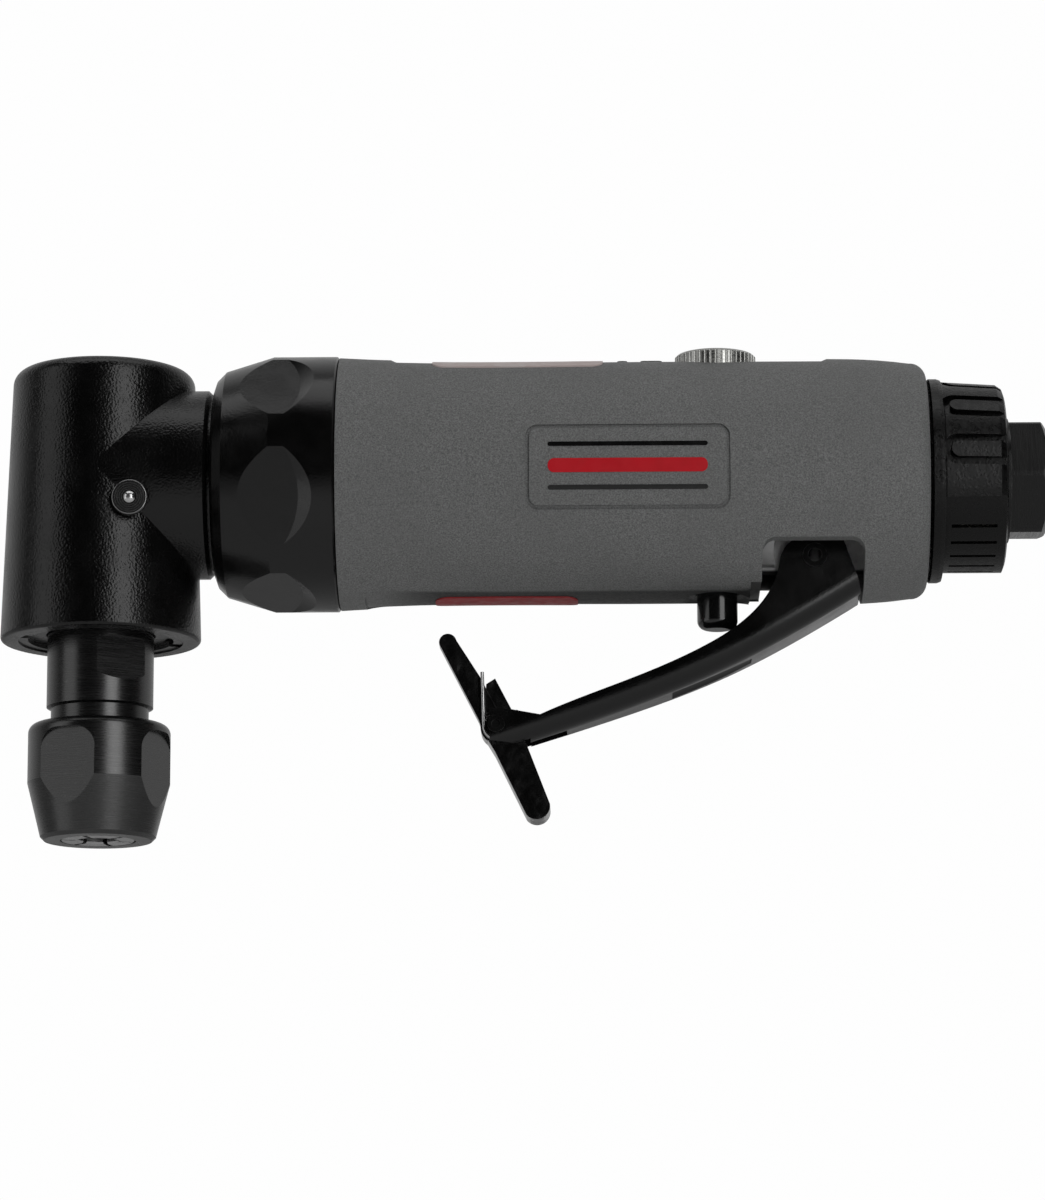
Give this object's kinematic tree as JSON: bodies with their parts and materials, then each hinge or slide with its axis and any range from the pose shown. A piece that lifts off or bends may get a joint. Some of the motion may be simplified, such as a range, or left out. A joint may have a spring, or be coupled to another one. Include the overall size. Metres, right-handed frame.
{
  "type": "right-angle air die grinder",
  "caption": "Right-angle pneumatic die grinder with a collet nut, grip sleeve, lever throttle with a locking lever, and a rear exhaust deflector.",
  "frame": {"origin": "centre of the collet's mouth, where a tool shank enters", "axes": "+X along the motor's axis towards the air inlet, +Z along the spindle away from the collet's mouth, so the head's closed top is up"},
  "size_m": [0.1653, 0.0406, 0.0775],
  "materials": {
    "head_black": "satin",
    "ring_black": "satin",
    "black_oxide": "satin",
    "bright_steel": "polished",
    "cast_aluminium": "bead blasted",
    "grip_grey": "pebbled",
    "lever_black": "satin",
    "safety_black": "gloss",
    "deflector_black": "pebbled",
    "vane_composite": "satin",
    "label_white": "satin",
    "label_red": "satin",
    "badge_black": "satin",
    "button_black": "gloss",
    "brass": "satin",
    "seal_rubber": "satin",
    "felt": "fibrous"
  },
  "bodies": {
    "housing": {"angle_head": "head_black", "grease_fitting": "bright_steel", "grease_spring": "bright_steel", "bearing_cap": "black_oxide", "pinion_spacer": "bright_steel", "head_snap_ring": "bright_steel", "clamp_ring": "ring_black", "motor_housing": "cast_aluminium", "grip_sleeve": "grip_grey", "top_label": "label_white", "bottom_label": "label_red", "badge_stripe": "label_red", "badge_lines": "badge_black", "spindle_lower_bearing_outer_race": "bright_steel", "spindle_upper_bearing_outer_race": "bright_steel", "pinion_bearing_outer_race": "bright_steel", "rotor_bearing_outer_race": "bright_steel", "front_end_plate": "bright_steel", "rear_end_plate": "bright_steel", "cylinder": "bright_steel", "cylinder_pin": "bright_steel", "valve_bushing": "brass", "valve_seat": "brass", "valve_spring": "bright_steel", "regulator_clip": "bright_steel", "lever_pin": "black_oxide", "inlet_bushing": "black_oxide", "inlet_screen": "bright_steel", "deflector_oring": "seal_rubber"},
    "rotor": {"rotor": "bright_steel", "vanes": "vane_composite", "pinion_shaft": "bright_steel", "pinion_bearing_inner_race": "bright_steel", "rotor_bearing_inner_race": "bright_steel"},
    "spindle": {"spindle": "black_oxide", "spindle_gear": "bright_steel", "spindle_lower_bearing_inner_race": "bright_steel", "spindle_upper_bearing_inner_race": "bright_steel"},
    "collet": {"collet": "black_oxide"},
    "collet_nut": {"collet_nut": "black_oxide"},
    "rotor_balls": {"rotor_bearing_balls": "bright_steel"},
    "pinion_balls": {"pinion_bearing_balls": "bright_steel"},
    "spindle_lower_balls": {"spindle_lower_bearing_balls": "bright_steel"},
    "spindle_upper_balls": {"spindle_upper_bearing_balls": "bright_steel"},
    "deflector": {"exhaust_deflector": "deflector_black", "muffler_felt": "felt"},
    "regulator": {"air_regulator": "bright_steel", "regulator_oring": "seal_rubber"},
    "throttle": {"throttle_lever": "lever_black", "safety_pin": "bright_steel"},
    "safety": {"safety_lever": "safety_black", "safety_spring": "bright_steel"},
    "valve": {"valve_stem": "button_black", "stem_oring": "seal_rubber", "valve_disc": "seal_rubber"},
    "grease_ball": {"grease_ball": "bright_steel"}
  },
  "joints": [
    {"name": "rotor_spin", "type": "hinge", "parent": "housing", "child": "rotor", "pos_m": [0.06, 0, 0.057], "axis": [1, 0, 0], "continuous": true},
    {"name": "spindle_spin", "type": "hinge", "parent": "housing", "child": "spindle", "pos_m": [0, 0, 0.03], "axis": [0, 0, 1], "continuous": true},
    {"name": "rotor_balls_orbit", "type": "hinge", "parent": "housing", "child": "rotor_balls", "pos_m": [0.06, 0, 0.057], "axis": [1, 0, 0], "continuous": true},
    {"name": "pinion_balls_orbit", "type": "hinge", "parent": "housing", "child": "pinion_balls", "pos_m": [0.02, 0, 0.057], "axis": [1, 0, 0], "continuous": true},
    {"name": "spindle_lower_balls_orbit", "type": "hinge", "parent": "housing", "child": "spindle_lower_balls", "pos_m": [0, 0, 0.0394], "axis": [0, 0, 1], "continuous": true},
    {"name": "spindle_upper_balls_orbit", "type": "hinge", "parent": "housing", "child": "spindle_upper_balls", "pos_m": [0, 0, 0.0689], "axis": [0, 0, 1], "continuous": true},
    {"name": "collet_slide", "type": "slide", "parent": "spindle", "child": "collet", "axis": [0, 0, -1], "range_m": [0, 0.002]},
    {"name": "nut_turn", "type": "hinge", "parent": "collet", "child": "collet_nut", "pos_m": [0, 0, 0.01], "axis": [0, 0, -1], "range_deg": [0, 720.5]},
    {"name": "deflector_turn", "type": "hinge", "parent": "housing", "child": "deflector", "pos_m": [0.137, 0, 0.057], "axis": [1, 0, 0], "continuous": true},
    {"name": "regulator_turn", "type": "hinge", "parent": "housing", "child": "regulator", "pos_m": [0.0975, 0, 0.075], "axis": [0, 0, 1], "range_deg": [-90, 90]},
    {"name": "throttle_press", "type": "hinge", "parent": "housing", "child": "throttle", "pos_m": [0.1127, 0, 0.0437], "axis": [0, 1, 0], "range_deg": [0, 8]},
    {"name": "safety_fold", "type": "hinge", "parent": "throttle", "child": "safety", "pos_m": [0.0626, 0, 0.0175], "axis": [0, 1, 0], "range_deg": [0, 84]},
    {"name": "valve_lift", "type": "slide", "parent": "housing", "child": "valve", "axis": [0, 0, 1], "range_m": [0, 0.0023], "deforming": ["valve_spring"]},
    {"name": "grease_ball_press", "type": "slide", "parent": "housing", "child": "grease_ball", "axis": [0, 1, 0], "range_m": [0, 0.0004]}
  ],
  "couplings": [
    {"joint": "spindle_spin", "follows": "rotor_spin", "ratio": 0.75},
    {"joint": "rotor_balls_orbit", "follows": "rotor_spin", "ratio": 0.3692},
    {"joint": "pinion_balls_orbit", "follows": "rotor_spin", "ratio": 0.3733},
    {"joint": "spindle_lower_balls_orbit", "follows": "rotor_spin", "ratio": 0.3021},
    {"joint": "spindle_upper_balls_orbit", "follows": "rotor_spin", "ratio": 0.2893},
    {"joint": "nut_turn", "follows": "collet_slide", "rad_per_m": 6283.2},
    {"joint": "safety_fold", "follows": "throttle_press", "ratio": 10.5},
    {"joint": "valve_lift", "follows": "throttle_press", "m_per_rad": 0.0164}
  ]
}
